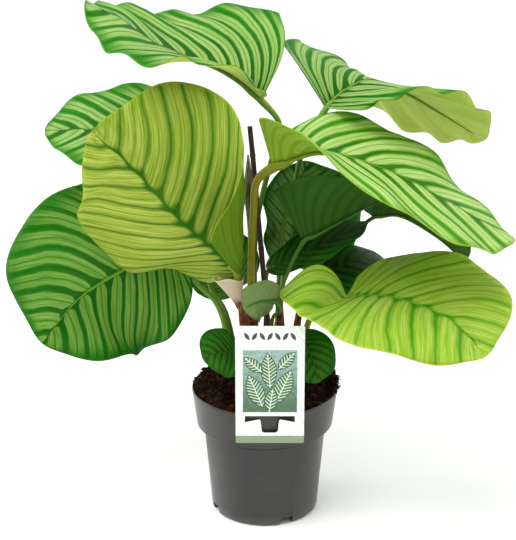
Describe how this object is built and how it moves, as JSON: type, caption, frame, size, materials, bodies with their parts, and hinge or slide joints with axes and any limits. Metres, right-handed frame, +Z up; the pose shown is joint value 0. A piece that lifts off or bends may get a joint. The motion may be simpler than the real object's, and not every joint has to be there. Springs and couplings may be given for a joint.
{
  "type": "potted foliage plant",
  "caption": "Prayer plant with round striped leaves on upright stems, growing in a tapered plastic grower pot with a card label hung on its rim.",
  "frame": {"origin": "on the pot's axis, at the surface the pot stands on", "axes": "+Z up, -Y is the front with the label, +X is the viewer's right"},
  "size_m": [0.4709, 0.2929, 0.4908],
  "materials": {
    "pot": "satin",
    "soil": "matte",
    "label": "satin",
    "cane": "matte",
    "rolled_leaf": "satin",
    "leaf_mid": "satin",
    "leaf_fresh": "satin",
    "leaf_young": "satin",
    "leaf_deep": "gloss"
  },
  "bodies": {
    "root": {"pot": "pot", "soil": "soil", "plant_label": "label", "support_cane": "cane", "rolled_leaf": "rolled_leaf", "leaf_top_left": "leaf_mid", "leaf_top_right": "leaf_mid", "leaf_right": "leaf_fresh", "leaf_front_left": "leaf_young", "leaf_back_left": "leaf_mid", "leaf_lower_left": "leaf_mid", "leaf_front_right": "leaf_fresh", "leaf_folded_middle": "leaf_deep", "leaf_upright_back": "leaf_mid", "leaf_low_middle": "leaf_deep", "leaf_low_right": "leaf_deep", "leaf_drooping_right": "leaf_deep", "leaf_small_centre": "leaf_deep", "leaf_small_left": "leaf_deep", "leaf_small_right": "leaf_deep", "leaf_low_back": "leaf_mid"}
  },
  "joints": []
}
